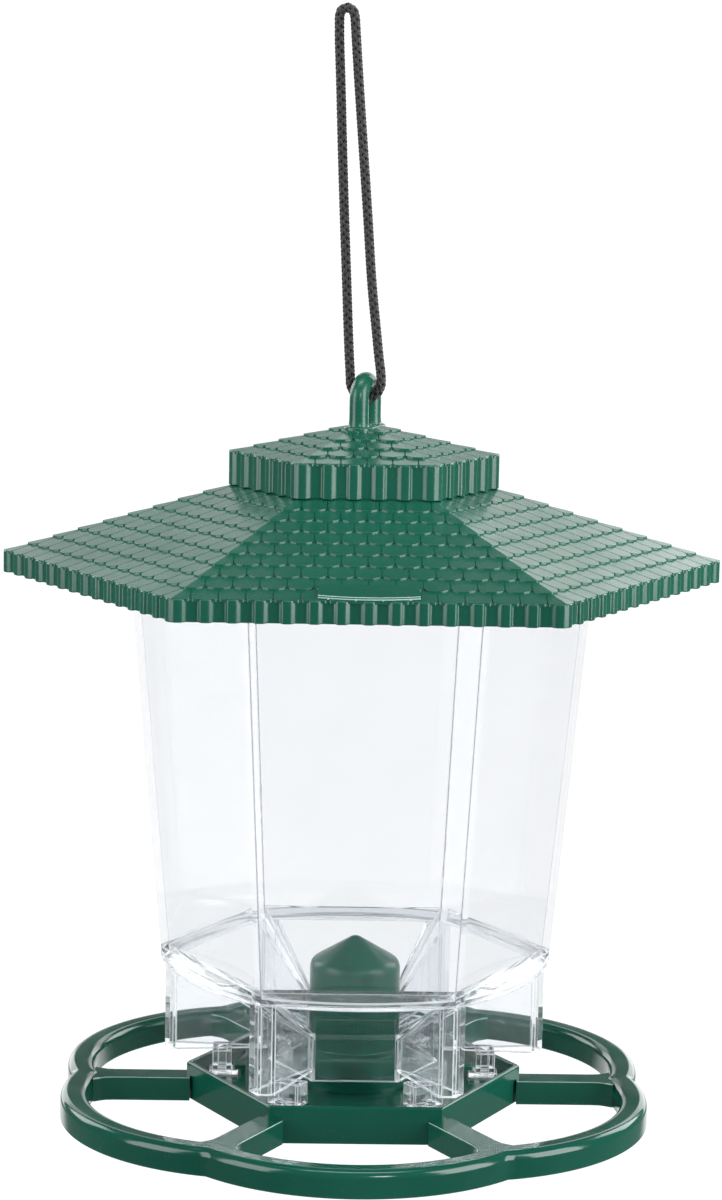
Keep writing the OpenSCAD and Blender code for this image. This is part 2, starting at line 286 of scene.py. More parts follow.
def even_normals(mesh, sharp):
    """Corner normals weighted by area, so that flat faces stay flat beside their bevels."""
    normal = [f.normal.copy() for f in mesh.polygons]
    weight = [f.area for f in mesh.polygons]
    around = [[] for _ in mesh.vertices]
    for f in mesh.polygons:
        for v in f.vertices:
            around[v].append(f.index)
    limit = math.cos(math.radians(sharp))
    corners = []
    for f in mesh.polygons:
        own = normal[f.index]
        for v in f.vertices:
            total = Vector()
            for g in around[v]:
                if normal[g].dot(own) > limit:
                    total += normal[g] * weight[g]
            corners.append(total.normalized() if total.length > 0 else own)
    mesh.normals_split_custom_set(corners)


def make_object(name, mesh, bm, material, body, replaces, sharp, rim=0.0):
    """The finished piece; faces narrower than rim (mm) are marked as edges, which the materials paint
    with highlight or shade lines.
    """
    outward(bm)
    mark = bm.faces.layers.float.get("rim") or bm.faces.layers.float.new("rim")
    for face in bm.faces:
        longest = max(e.calc_length() for e in face.edges)
        if face.calc_area() < rim * MM * longest:
            face[mark] = 1.0
    bm.to_mesh(mesh)
    bm.free()
    mesh.shade_smooth()
    even_normals(mesh, sharp)
    obj = bpy.data.objects.new(name, mesh)
    bpy.context.collection.objects.link(obj)
    obj.data.materials.append(material)
    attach(obj, body)
    if replaces:
        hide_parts(*replaces)
    return obj


class Build:
    """Closed skins gathered into one mesh; points in mm in the feeder's own frame."""

    def __init__(self):
        self.points, self.faces = [], []

    def ring(self, points):
        start = len(self.points)
        self.points.extend(points)
        return list(range(start, start + len(points)))

    def skin(self, rings, closed=True):
        """Quads between rings of equal length; each ring is a loop."""
        count = len(rings[0])
        pairs = list(zip(rings, rings[1:])) + ([(rings[-1], rings[0])] if closed else [])
        for a, b in pairs:
            for i in range(count):
                j = (i + 1) % count
                self.faces.append((a[i], a[j], b[j], b[i]))

    def stack(self, rings):
        """A closed solid: rings skinned in order, capped at both ends."""
        rings = [self.ring(r) for r in rings]
        self.skin(rings, closed=False)
        self.faces.append(tuple(reversed(rings[0])))
        self.faces.append(tuple(rings[-1]))

    def hoop(self, sections):
        """A closed ring of cross-sections."""
        self.skin([self.ring(s) for s in sections], closed=True)

    def finish(self, name, material, body, replaces=(), sharp=38, rim=0.0):
        mesh = bpy.data.meshes.new(name)
        mesh.from_pydata([place(p) for p in self.points], [], self.faces)
        bm = bmesh.new()
        bm.from_mesh(mesh)
        return make_object(name, mesh, bm, material, body, replaces, sharp, rim)


def polar(radius, angle, z=0.0):
    return (radius * math.cos(angle), radius * math.sin(angle), z)


def fillet(points, radii, steps=4):
    """A 2D outline with each corner rounded by its own radius."""
    out, count = [], len(points)
    for i, (p, r) in enumerate(zip(points, radii)):
        if r <= 0:
            out.append(tuple(p))
            continue
        a = Vector(points[i - 1]) - Vector(p)
        b = Vector(points[(i + 1) % count]) - Vector(p)
        half = a.angle(b) / 2
        reach = r / math.tan(half)
        middle = Vector(p) + (a.normalized() + b.normalized()).normalized() * (r / math.sin(half))
        start = Vector(p) + a.normalized() * reach - middle
        sweep = start.angle_signed(Vector(p) + b.normalized() * reach - middle)
        for s in range(steps + 1):
            turn = -sweep * s / steps
            c, d = math.cos(turn), math.sin(turn)
            out.append((middle.x + c * start.x - d * start.y, middle.y + d * start.x + c * start.y))
    return out


def hexagon(radius, rounding=0.0, steps=4):
    corners = [polar(radius, TURN * k)[:2] for k in range(SIDES)]
    return fillet(corners, [rounding] * SIDES, steps)


def clip(polygon, normal, limit):
    """The part of a convex outline where normal . p <= limit."""
    out = []
    for i, p in enumerate(polygon):
        q = polygon[(i + 1) % len(polygon)]
        dp = normal[0] * p[0] + normal[1] * p[1] - limit
        dq = normal[0] * q[0] + normal[1] * q[1] - limit
        if dp <= 0:
            out.append(p)
        if dp * dq < 0:
            t = dp / (dp - dq)
            out.append((p[0] + t * (q[0] - p[0]), p[1] + t * (q[1] - p[1])))
    return out


def area(polygon):
    return abs(sum(a[0] * b[1] - b[0] * a[1]
                   for a, b in zip(polygon, polygon[1:] + polygon[:1]))) / 2


def on_side(k, u, a, z):
    """Side k's point: u along the side, a out from the axis, z up."""
    angle = TURN * (k + 0.5)
    c, s = math.cos(angle), math.sin(angle)
    return (a * c - u * s, a * s + u * c, z)


# ---------------------------------------------------------------- cord

# The loop's centre line as (along the loop's plane, up) in mm from the hook seat
CORD_ROUTE = [
    (8, -114.75), (6.7, -114.6), (5.5, -114.1), (4.5, -113.3), (3.7, -112.2), (3.2, -111),
    (3.05, -109.6), (2.9, -107), (2.6, -103), (2.1, -95), (1.3, -80), (0.2, -60), (-0.8, -40),
    (-1.7, -20), (-2.3, -8), (-2.4, -3), (-2.4, -1), (-2.2, 0.1), (-1.7, 0.95), (-0.9, 1.5),
    (0, 1.65), (0.9, 1.5), (1.7, 0.95), (2.2, 0.1), (2.5, -1), (2.7, -3), (3.1, -8), (4.1, -20),
    (5.9, -40), (7.7, -60), (9.4, -80), (11.2, -95), (12.2, -103), (12.8, -107), (12.95, -109.6),
    (12.8, -111), (12.3, -112.2), (11.5, -113.3), (10.5, -114.1), (9.3, -114.6)]


def smooth_loop(route, step):
    """Even points, with tangents, on a closed curve through the route."""
    count, fine = len(route), []
    points = [Vector(p) for p in route]
    for i in range(count):
        p0, p1, p2, p3 = (points[(i + d) % count] for d in (-1, 0, 1, 2))
        t1 = (p2 - p0) / ((p2 - p1).length + (p1 - p0).length) * (p2 - p1).length
        t2 = (p3 - p1) / ((p3 - p2).length + (p2 - p1).length) * (p2 - p1).length
        pieces = max(2, round((p2 - p1).length / 0.25))
        for s in range(pieces):
            t = s / pieces
            h = (2 * t**3 - 3 * t**2 + 1, t**3 - 2 * t**2 + t, 3 * t**2 - 2 * t**3, t**3 - t**2)
            fine.append(p1 * h[0] + t1 * h[1] + p2 * h[2] + t2 * h[3])
    spans = [(fine[(i + 1) % len(fine)] - fine[i]).length for i in range(len(fine))]
    total = sum(spans)
    count = round(total / step)
    out, i, run = [], 0, 0.0
    for n in range(count):
        want = total * n / count
        while run + spans[i] < want:
            run += spans[i]
            i += 1
        t = (want - run) / spans[i]
        out.append(fine[i].lerp(fine[(i + 1) % len(fine)], t))
    return out, total


def make_cord():
    """Hollow braid: four flat strands each way, weaving over and under each other."""
    across = Vector((math.sin(ARCH_TURN), math.cos(ARCH_TURN), 0))
    along = Vector((math.cos(ARCH_TURN), -math.sin(ARCH_TURN), 0))
    route, length = smooth_loop(CORD_ROUTE, 0.42)
    count = len(route)
    lay, strands, helix, half_w, half_t = 9.6, 4, 1.12, 0.5, 0.27
    turns = round(length / lay)
    mesh_points, faces = [], []
    around = 6
    for way in (1, -1):
        for s in range(strands):
            start = len(mesh_points)
            for i in range(count):
                p = route[i]
                run = (route[(i + 1) % count] - route[i - 1]).normalized()
                tangent = along * run.x + Vector((0, 0, run.y))
                out = Vector((0, 0, run.x)) - along * run.y
                a = way * 2 * math.pi * turns * i / count + 2 * math.pi * s / strands
                weave = math.cos(strands * way * a + (0 if way > 0 else math.pi))
                radial = out * math.cos(a) + across * math.sin(a)
                hoop = across * math.cos(a) - out * math.sin(a)
                slope = way * 2 * math.pi * helix / lay
                runway = (tangent + hoop * slope).normalized()
                wide = runway.cross(radial).normalized()
                centre = along * p.x + Vector((0, 0, p.y)) + radial * (helix + 0.2 * weave)
                for c in range(around):
                    t = 2 * math.pi * (c + 0.5) / around
                    q = centre + wide * half_w * math.cos(t) + radial * half_t * math.sin(t)
                    mesh_points.append(q * MM)
            for i in range(count):
                j = (i + 1) % count
                for c in range(around):
                    d = (c + 1) % around
                    faces.append((start + i * around + c, start + i * around + d,
                                  start + j * around + d, start + j * around + c))
    mesh = bpy.data.meshes.new("cord_braid")
    mesh.from_pydata(mesh_points, [], faces)
    bm = bmesh.new()
    bm.from_mesh(mesh)
    bmesh.ops.recalc_face_normals(bm, faces=bm.faces)
    bm.to_mesh(mesh)
    bm.free()
    mesh.shade_smooth()
    cord = bpy.data.objects.new("cord_braid", mesh)
    bpy.context.collection.objects.link(cord)
    cord.data.materials.append(FIBRE)
    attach(cord, "cord")
    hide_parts("cord_loop")


make_cord()


# ---------------------------------------------------------------- roof

ROOF_R, ROOF_RISE, CAP_R, CAP_BAND, CAP_RISE = 110.0, 21.3, 41.7, 10.3, 9.8
ROWS = 9
PITCH = (ROOF_R - CAP_R) / ROWS
CAP_PITCH = 7.6
STEP = 0.6     # drop at a tile's lower edge
GROOVE = 0.95  # depth of the grooves between ribs
JOINT = 0.3    # gap between neighbouring tiles


def tile_rows(b, corner_r, pitch, rows, width, first_joint, edge_z, slope):
    """Overlapping rows of round-cornered tiles on the six facets of a hexagonal roof."""
    a0 = corner_r * FLAT
    drop = pitch * FLAT
    hip = math.tan(TURN / 2)

    def skin_z(a):
        return edge_z + (a0 - a) * slope

    for row in range(rows):
        outer = a0 - drop * row
        inner = max(outer - drop - 0.7, 1.0)
        front = outer - (0.5 if row == 0 else 0.0)
        start = first_joint + (width / 2 if row % 2 else 0)
        count = int(outer * hip / width) + 2
        for i in range(-count - 1, count + 1):
            u0, u1 = start + i * width + JOINT / 2, start + (i + 1) * width - JOINT / 2
            if row == 0:
                shape = [(u0, inner), (u1, inner), (u1, front), (u0, front)]
                shape = fillet(shape, [0, 0, 1, 1], 4)
            else:
                shape = [(u0, inner), (u1, inner), (u1, front - 1.5), (u1 - 0.6, front - 0.9),
                         (u1 - 2.4, front), (u0 + 2.4, front), (u0 + 0.6, front - 0.9),
                         (u0, front - 1.5)]
                shape = fillet(shape, [0, 0, 0.5, 0.7, 1.6, 1.6, 0.7, 0.5], 3)
            shape = clip(shape, (1, -hip), 0.0)
            shape = clip(shape, (-1, -hip), 0.0) if len(shape) > 2 else []
            if len(shape) < 3 or area(shape) < 0.5:
                continue

            def top(p, fall=0.0):
                return skin_z(p[1]) - STEP * (outer - p[1]) / drop - fall

            def shell(p):
                return skin_z(p[1]) - STEP * max(1.0, (outer - p[1]) / drop) - 0.35

            def drawn_in(p, by):
                """The point moved in from the tile's own sides and lower edge, not from a hip."""
                middle, reach = (u0 + u1) / 2, (u1 - u0) / 2
                du = (p[0] - middle) * (reach - by) / reach
                return (middle + du, p[1] - by * max(0.0, 1 - (front - p[1]) / 2.2))

            small = [drawn_in(p, 0.03) for p in shape]
            less = [drawn_in(p, 0.1) for p in shape]
            for k in range(SIDES):
                b.stack([
                    [on_side(k, u, a, shell((u, a))) for u, a in shape],
                    [on_side(k, u, a, top((u, a), 0.1)) for u, a in shape],
                    [on_side(k, u, a, top((u, a), 0.03)) for u, a in small],
                    [on_side(k, u, a, top((u, a))) for u, a in less]])


def rib_band(b, corner_r, joints, pitch, z_low, z_high):
    """A band of soft upright ribs round a hexagon; joints are the middles of the grooves."""
    apothem, half = corner_r * FLAT, corner_r / 2

    def groove(u):
        away = min(abs(u - j) for j in joints) / pitch
        t = max(0.0, min(1.0, (0.39 - away) / 0.22))
        return t * t * (3 - 2 * t)

    samples = []
    marks = [-half] + list(joints) + [half]
    for left, right in zip(marks, marks[1:]):
        n = max(4, round(20 * (right - left) / pitch))
        samples += [left + (right - left) * i / n for i in range(n)]
    levels = [(-1.7, z_low + 0.3), (-0.5, z_low), (-0.16, z_low + 0.06), (0.0, z_low + 0.3),
              (0.0, z_high - 0.45), (-0.1, z_high - 0.16), (-0.34, z_high), (-0.75, z_high + 0.06),
              (-1.7, z_high + 0.06)]
    sections = []
    for k in range(SIDES):
        for u in samples:
            g = groove(u)
            corner = 0.55 * max(0.0, (abs(u) - half + 1.7) / 1.7) ** 2
            section = []
            for out, z in levels:
                depth = (GROOVE * g + corner) * (1 if out > -1.6 else 0)
                a = apothem + out - depth
                lift = 0.22 * g if z < z_low + 1 else -0.1 * g
                section.append(on_side(k, u * a / apothem, a, z + lift))
            sections.append(section)
    b.hoop(sections)


def hex_sections(profile):
    """Six mitred cross-sections from [(corner radius, height), ...]."""
    return [[polar(r, TURN * k, z) for r, z in profile] for k in range(SIDES)]


def make_roof():
    """Lower roof and cap: a smooth shell under rows of tiles, with a ribbed band each."""
    slope = ROOF_RISE / ((ROOF_R - CAP_R) * FLAT)
    eye = 34.0
    wall = 2.0 / FLAT

    def roof_z(r):
        return (ROOF_R - r) * ROOF_RISE / (ROOF_R - CAP_R)

    b = Build()
    shell_r = ROOF_R - 1.4 / FLAT
    b.hoop(hex_sections([
        (shell_r, -EAVE_BAND + 0.5), (shell_r, roof_z(shell_r) - STEP - 0.1),
        (eye, roof_z(eye) - STEP - 0.1), (eye, roof_z(eye) - 2.2), (ROOF_R - wall, -1.4),
        (ROOF_R - wall, -EAVE_BAND + 0.35), (ROOF_R - wall + 0.35, -EAVE_BAND + 0.05),
        (shell_r - 0.35, -EAVE_BAND + 0.05)]))
    tile_rows(b, ROOF_R, PITCH, ROWS, PITCH, PITCH / 2, 0.0, slope)
    joints = [(i + 0.5) * PITCH for i in range(-7, 7)]
    rib_band(b, ROOF_R, joints, PITCH, -EAVE_BAND, 0.0)
    b.finish("roof_tiles", ROOF, "roof", ["roof_lower"])

    edge = ROOF_RISE + CAP_BAND
    cap_slope = CAP_RISE / (CAP_R * FLAT)
    b = Build()
    shell_r = CAP_R - 1.4 / FLAT
    b.hoop(hex_sections([
        (shell_r, roof_z(CAP_R) - 0.2), (shell_r, edge + 0.05 - STEP),
        (1.5, edge + CAP_RISE - 0.4 - STEP), (1.5, edge + CAP_RISE - 3.0), (CAP_R - wall, edge - 2.0),
        (CAP_R - wall, roof_z(CAP_R) - 0.2)]))
    tile_rows(b, CAP_R, 7.6, 6, CAP_PITCH, 0.0, edge, cap_slope)
    joints = [i * CAP_PITCH for i in range(-2, 3)]
    rib_band(b, CAP_R, joints, CAP_PITCH, ROOF_RISE - 0.2, edge)
    b.finish("cap_tiles", ROOF, "roof", ["roof_cap"])


make_roof()


def make_arch():
    """The hanging arch: a round rod bent over, flared into a smooth hub at its foot."""
    rod, span, tip = 2.95, 11.2, ROOF_RISE + CAP_BAND + CAP_RISE
    crown = span / 2
    swing_z = tip + 14.6 - 2 * rod / 2 - crown
    side = Vector((math.sin(ARCH_TURN), math.cos(ARCH_TURN), 0))
    face = Vector((math.cos(ARCH_TURN), -math.sin(ARCH_TURN), 0))
    b = Build()
    path = []
    foot = tip - 2.2
    for t in (0.0, 0.35, 0.8, 1.4, 2.2, 3.2, 4.4, 5.8):
        path.append((crown, foot + t, 0.0, rod + 0.9 * math.exp(-t / 0.75)))
    path.append((crown, swing_z, 0.0, rod))
    for i in range(1, 24):
        a = math.pi * i / 24
        path.append((crown * math.cos(a), swing_z + crown * math.sin(a), a, rod))
    path += [(-x, z, math.pi, r) for x, z, _, r in reversed(path[:9])]
    rings = []
    for x, z, lean, r in path:
        out = side * math.cos(lean) + Vector((0, 0, math.sin(lean)))
        if lean == math.pi:
            out = -side
        middle = side * x + Vector((0, 0, z))
        rings.append([tuple(middle + (out * math.cos(t) + face * math.sin(t)) * r)
                      for t in (2 * math.pi * i / 40 for i in range(40))])
    b.stack(rings)
    # Low smooth hub that the legs stand on
    hub = []
    for inset, up in ((0.0, -3.2), (0.0, -1.9), (0.25, -1.62), (0.7, -1.5)):
        rx, ry = 10.4 - inset, 4.9 - inset
        ring = []
        for i in range(48):
            t = 2 * math.pi * i / 48
            c, s = math.cos(t), math.sin(t)
            bulge = (abs(c) ** 3 + abs(s) ** 3) ** (-1 / 3)
            p = side * (rx * c * bulge * 0.94) + face * (ry * s * bulge)
            ring.append((p.x, p.y, tip + up))
        hub.append(ring)
    b.stack(hub)
    b.finish("arch_rod", ROOF, "roof", ["hanger_arch"], sharp=50)


make_arch()


def make_pad():
    """Smooth thumb pad on the front facet, with a thin curved lip along its lower edge; the narrowest
    faces, the lip among them, carry a painted highlight.
    """
    slope = ROOF_RISE / ((ROOF_R - CAP_R) * FLAT)
    apothem = ROOF_R * FLAT
    half, inner, steps = 14.2, apothem - 9.0, 28

    def edge(u):
        return apothem - 0.35 - 1.0 * (u / half) ** 2

    # (share of the way out, set back from the lower edge, height over the facet)
    line = [(0, 0, -0.9), (0, 0, 0.16), (0, -0.25, 0.3), (0.5, 0, 0.34), (1, 1.5, 0.3),
            (1, 1.0, 0.34), (1, 0.82, 0.5), (1, 0.62, 0.78), (1, 0.42, 0.86), (1, 0.2, 0.76),
            (1, 0.05, 0.5), (1, 0, 0.2), (1, 0, -0.9)]
    rings = []
    for i in range(steps + 1):
        u = half * (2 * i / steps - 1)
        ring = []
        for share, back, up in line:
            a = inner + (edge(u) - inner) * share - back
            ring.append(on_side(4, u, a, (apothem - a) * slope + up))
        rings.append(ring)
    b = Build()
    b.stack(rings)
    for i in (-2, -1, 1, 2):
        u = (abs(i) - 0.5) * PITCH * (1 if i > 0 else -1)
        a = edge(u) + 0.1
        dot = []
        for t, wide in ((-0.5, 0.16), (-0.3, 0.34), (0.1, 0.38), (0.4, 0.3), (0.5, 0.12)):
            dot.append([on_side(4, u + wide * math.cos(c), a - 0.2 + wide * 0.6 * math.sin(c),
                                (apothem - a) * slope + 0.25 + t * 0.7)
                        for c in (2 * math.pi * j / 10 for j in range(10))])
        b.stack(dot)
    # Faces narrower than 0.33 mm, the lip among them, take a painted highlight.
    b.finish("thumb_pad_smooth", ROOF, "roof", ["thumb_pad"], sharp=50, rim=0.33)


make_pad()


# ---------------------------------------------------------------- hopper

TOP_R, LOW_R, WALL = 72.1, 60.4, 2.5
TOP_Z, LOW_Z = 4.0, -127.6


def hopper_r(z):
    return LOW_R + (TOP_R - LOW_R) * (z - LOW_Z) / (TOP_Z - LOW_Z)


def make_hopper():
    """Clear walls in one shell, the hoods over the ports, and the funnel with its tube."""
    wall = WALL / FLAT
    b = Build()
    levels = [LOW_Z + (TOP_Z - LOW_Z) * i / 14 for i in range(15)]

    def outer(z, inset=0.0):
        return [(x, y, z) for x, y in hexagon(hopper_r(z) - inset, 1.3, 7)]

    def inner(z, inset=0.0):
        return [(x, y, z) for x, y in hexagon(hopper_r(z) - wall + inset, 0.5, 7)]

    rings = [outer(LOW_Z + 0.01, 0.3), outer(LOW_Z + 0.3)] + [outer(z) for z in levels[1:-1]]
    rings += [outer(TOP_Z - 0.3), outer(TOP_Z - 0.01, 0.3), inner(TOP_Z - 0.01, 0.3),
              inner(TOP_Z - 0.3)]
    rings += [inner(z) for z in reversed(levels[1:-1])] + [inner(LOW_Z + 0.3)]
    rings += [inner(LOW_Z + 0.01, 0.3)]
    b.skin([b.ring(r) for r in rings], closed=True)
    # Faces narrower than 0.1 mm take the painted dark edge line.
    b.finish("hopper_shell", CLEAR_WALL, "hopper",
             [f"hopper_wall_{k}" for k in range(1, 7)], sharp=60, rim=0.1)

    # Curved hoods over the ports
    b = Build()
    half, reach, height = LOW_R / 2, 5.5, 4.1
    bend = (half**2 + reach**2) / (2 * reach)
    for k in range(SIDES):
        rings = []
        for i in range(25):
            u = (2 * i / 24 - 1) * (half - 1.6)
            stand = math.sqrt(bend**2 - u**2) - (bend - reach)
            face = LOW_R * FLAT
            tilt = (TOP_R - LOW_R) * FLAT / (TOP_Z - LOW_Z)
            section = [(0.0, 0.0), (stand - 0.4, 0.0), (stand, 0.4), (stand, 2.2),
                       (stand - 0.5, 2.8), (0.6, height), (0.0, height)]
            rings.append([on_side(k, u, face + max(0.06, a) + tilt * z + 0.02, LOW_Z + z)
                          for a, z in section])
        b.stack(rings)
    # Faces narrower than 0.8 mm take the painted pale edge highlight.
    b.finish("port_hoods", CLEAR, "hopper",
             [f"port_hood_{k}" for k in range(1, 7)], sharp=40, rim=0.8)

    # Funnel floor and feed tube in one
    b = Build()
    top_z, low_z, thick, tube, tube_wall, tube_low = -123.2, -143.5, 2.4, 27.0, 1.6, -159.5
    top_r = hopper_r(top_z - thick) - wall - 0.08
    profile = [(top_r, top_z - thick), (top_r, top_z), (tube + 0.6, low_z + 0.4),
               (tube - tube_wall, low_z - 0.6), (tube - tube_wall, tube_low + 0.2),
               (tube - tube_wall + 0.3, tube_low), (tube - 0.3, tube_low), (tube, tube_low + 0.2),
               (tube, low_z - thick - 0.2), (tube + 0.6, low_z - thick + 0.2)]
    sections = []
    for k in range(SIDES):
        for s in (-1, 0, 1):
            section = []
            for r, z in profile:
                x, y = hexagon(r, 0.9, 2)[3 * k + s + 1]
                section.append((x, y, z))
            sections.append(section)
    b.hoop(sections)
    # Faces narrower than 0.5 mm take the painted pale edge highlight.
    b.finish("funnel", CLEAR, "hopper", ["funnel_floor", "feed_tube"],
             sharp=30, rim=0.5)


make_hopper()


def bevelled(name, nodes, material, body, width, sharp=35):
    """One piece from copies of CAD solids, with their edges rounded."""
    mesh = bpy.data.meshes.new(name)
    bm = bmesh.new()
    for node in nodes:
        bm.from_mesh(frame_object(node).data)
    bmesh.ops.remove_doubles(bm, verts=bm.verts, dist=2e-6)
    bmesh.ops.dissolve_limit(bm, angle_limit=math.radians(1), verts=bm.verts, edges=bm.edges)
    mark = bm.faces.layers.float.new("rim")
    edges = [e for e in bm.edges if len(e.link_faces) == 2 and e.calc_face_angle(0) > 0.4]
    round_off = bmesh.ops.bevel(bm, geom=edges, offset=width * MM, segments=3, profile=0.5,
                                affect="EDGES", clamp_overlap=True)
    # On clear pieces the rounded edges are marked for the painted pale edge highlight.
    for face in round_off["faces"] if material == CLEAR else ():
        face[mark] = 1.0
    return make_object(name, mesh, bm, material, body, nodes, sharp)


def frame_object(node):
    return bpy.data.objects[node]


for k in range(1, 7):
    bevelled(f"divider_{k}", [f"port_divider_{k}"], CLEAR, "hopper", 0.3)
    bevelled(f"foot_{k}", [f"hopper_foot_{k}"], CLEAR, "hopper", 0.25)


# ---------------------------------------------------------------- tray

TRAY_R, TRAY_TOP, TRAY_LOW, FLOOR = 52.2, -160.4, -172.0, -164.2
NOTCH_R, PERCH_R, RAIL_W = 88.0, 94.6, 8.3
LOBE_RISE = PERCH_R - NOTCH_R * FLAT
LOBE_R = ((NOTCH_R / 2) ** 2 + LOBE_RISE**2) / (2 * LOBE_RISE)
LOBE_MID = PERCH_R - LOBE_R


def rounded_top(width, height, radius, wall, steps=6):
    """Inverted channel with a round top, as [(across, up), ...] from its outer foot."""
    out = [(0.25, 0.0), (0.0, 0.25)]
    for i in range(steps + 1):
        a = math.pi / 2 * i / steps
        out.append((radius - radius * math.cos(a), height - radius + radius * math.sin(a)))
    for i in range(steps + 1):
        a = math.pi / 2 * i / steps
        out.append((width - radius + radius * math.sin(a), height - radius + radius * math.cos(a)))
    out += [(width, 0.25), (width - 0.25, 0.0), (width - wall + 0.25, 0.0), (width - wall, 0.25),
            (width - wall, height - wall - 0.5), (width - wall - 0.5, height - wall),
            (wall + 0.5, height - wall), (wall, height - wall - 0.5), (wall, 0.25),
            (wall - 0.25, 0.0)]
    return out


def make_tray():
    """Perch rail, spokes and dish."""
    # Perch rail: six lobes that share their mitre sections
    b = Build()
    profile = rounded_top(RAIL_W, RAIL_W, 2.6, 1.8)
    steps, sections = 40, []
    for k in range(SIDES):
        for i in range(steps):
            section = []
            for across, up in profile:
                rho = LOBE_R - across
                limit = math.pi / 6 + math.asin(LOBE_MID * 0.5 / rho)
                a = -limit + 2 * limit * i / steps
                x = LOBE_MID + rho * math.cos(a)
                y = rho * math.sin(a)
                section.append(on_side(k, y, x, TRAY_LOW + up))
            sections.append(section)
    b.hoop(sections)
    b.finish("perch_rail", BASE, "tray", [f"perch_{k}" for k in range(1, 7)],
             sharp=42)

    # Spokes, each with a short gusset where it meets the rail
    b = Build()
    half, height, wall = 4.35, RAIL_W - 0.8, 1.8
    start = TRAY_R - 1.2
    rail_in = LOBE_R - RAIL_W
    notch_in = LOBE_MID * FLAT + math.sqrt(rail_in**2 - (LOBE_MID / 2) ** 2)
    for k in range(SIDES):
        rings = []
        for x, flare in ((start, 0.0), (notch_in - 5.0, 0.0), (notch_in - 2.2, 0.25),
                         (notch_in - 0.4, 1.1), (notch_in + 1.6, 2.3)):
            h, w = height, half + flare
            outline = [(-w, 0.2), (-w + 0.2, 0.0), (-w + wall, 0.0), (-w + wall, h - wall),
                       (w - wall, h - wall), (w - wall, 0.0), (w - 0.2, 0.0), (w, 0.2),
                       (w, h - 0.5), (w - 0.08, h - 0.22), (w - 0.24, h - 0.06), (w - 0.5, h),
                       (-w + 0.5, h), (-w + 0.24, h - 0.06), (-w + 0.08, h - 0.22),
                       (-w, h - 0.5)]
            a = TURN * k
            rings.append([(x * math.cos(a) - v * math.sin(a), x * math.sin(a) + v * math.cos(a),
                           TRAY_LOW + z) for v, z in outline])
        b.stack(rings)
    # Faces narrower than 0.24 mm, on the spokes' top edge bevels, take a painted highlight.
    b.finish("spokes", BASE, "tray", [f"spoke_{k}" for k in range(1, 7)],
             sharp=42, rim=0.24)

    # Dish with rounded rim
    b = Build()
    inner = TRAY_R - 1.7 / FLAT
    mid = (TRAY_R + inner) / 2
    profile = [(TRAY_R - 0.3, TRAY_LOW), (TRAY_R, TRAY_LOW + 0.3), (TRAY_R, TRAY_TOP - 0.75),
               (TRAY_R - 0.2, TRAY_TOP - 0.3), (TRAY_R - 0.6, TRAY_TOP - 0.06), (mid, TRAY_TOP),
               (inner + 0.6, TRAY_TOP - 0.06), (inner + 0.2, TRAY_TOP - 0.3),
               (inner, TRAY_TOP - 0.75), (inner, TRAY_LOW + 0.3), (inner + 0.3, TRAY_LOW)]
    sections = []
    for k in range(SIDES):
        for s in range(4):
            sections.append([(*hexagon(r, 0.9, 3)[4 * k + s], z) for r, z in profile])
    b.hoop(sections)
    floor = hexagon(inner + 0.3, 0.6, 3)
    b.stack([[(x, y, FLOOR - 2.0) for x, y in floor], [(x, y, FLOOR) for x, y in floor]])
    b.finish("tray_dish_smooth", BASE, "tray", ["tray_dish"], sharp=42)


make_tray()
bevelled("lugs", ["tray_lugs"], BASE, "tray", 0.2)


def make_post():
    """Turned post: cone, softened shoulder, collar and stepped foot."""
    b = Build()
    r = 14.0
    line = [(0.0, -119.4), (1.2, -119.55), (12.2, -126.2), (13.1, -126.9), (13.7, -127.8),
            (r, -129.2), (r, -153.4), (14.2, -153.9), (15.9, -154.3), (16.4, -154.6),
            (16.5, -155.2), (16.5, -160.6), (16.7, -161.0), (18.1, -161.5), (18.5, -161.9),
            (18.6, -162.6), (19.6, -162.95), (20.0, -163.3), (20.0, FLOOR - 0.2)]
    rings = [b.ring([polar(x, 2 * math.pi * i / 96, z) for i in range(96)]) for x, z in line[1:]]
    b.skin(rings, closed=False)
    tip = b.ring([(0, 0, line[0][1])])[0]
    for i in range(96):
        b.faces.append((tip, rings[0][(i + 1) % 96], rings[0][i]))
    b.faces.append(tuple(rings[-1]))
    b.finish("post_turned", POST, "tray", ["seed_post"], sharp=35)


make_post()

# The inner collar keeps its CAD shape
collar = frame_object("roof_collar")
collar.data.materials.clear()
collar.data.materials.append(ROOF)


# ---------------------------------------------------------------- studio

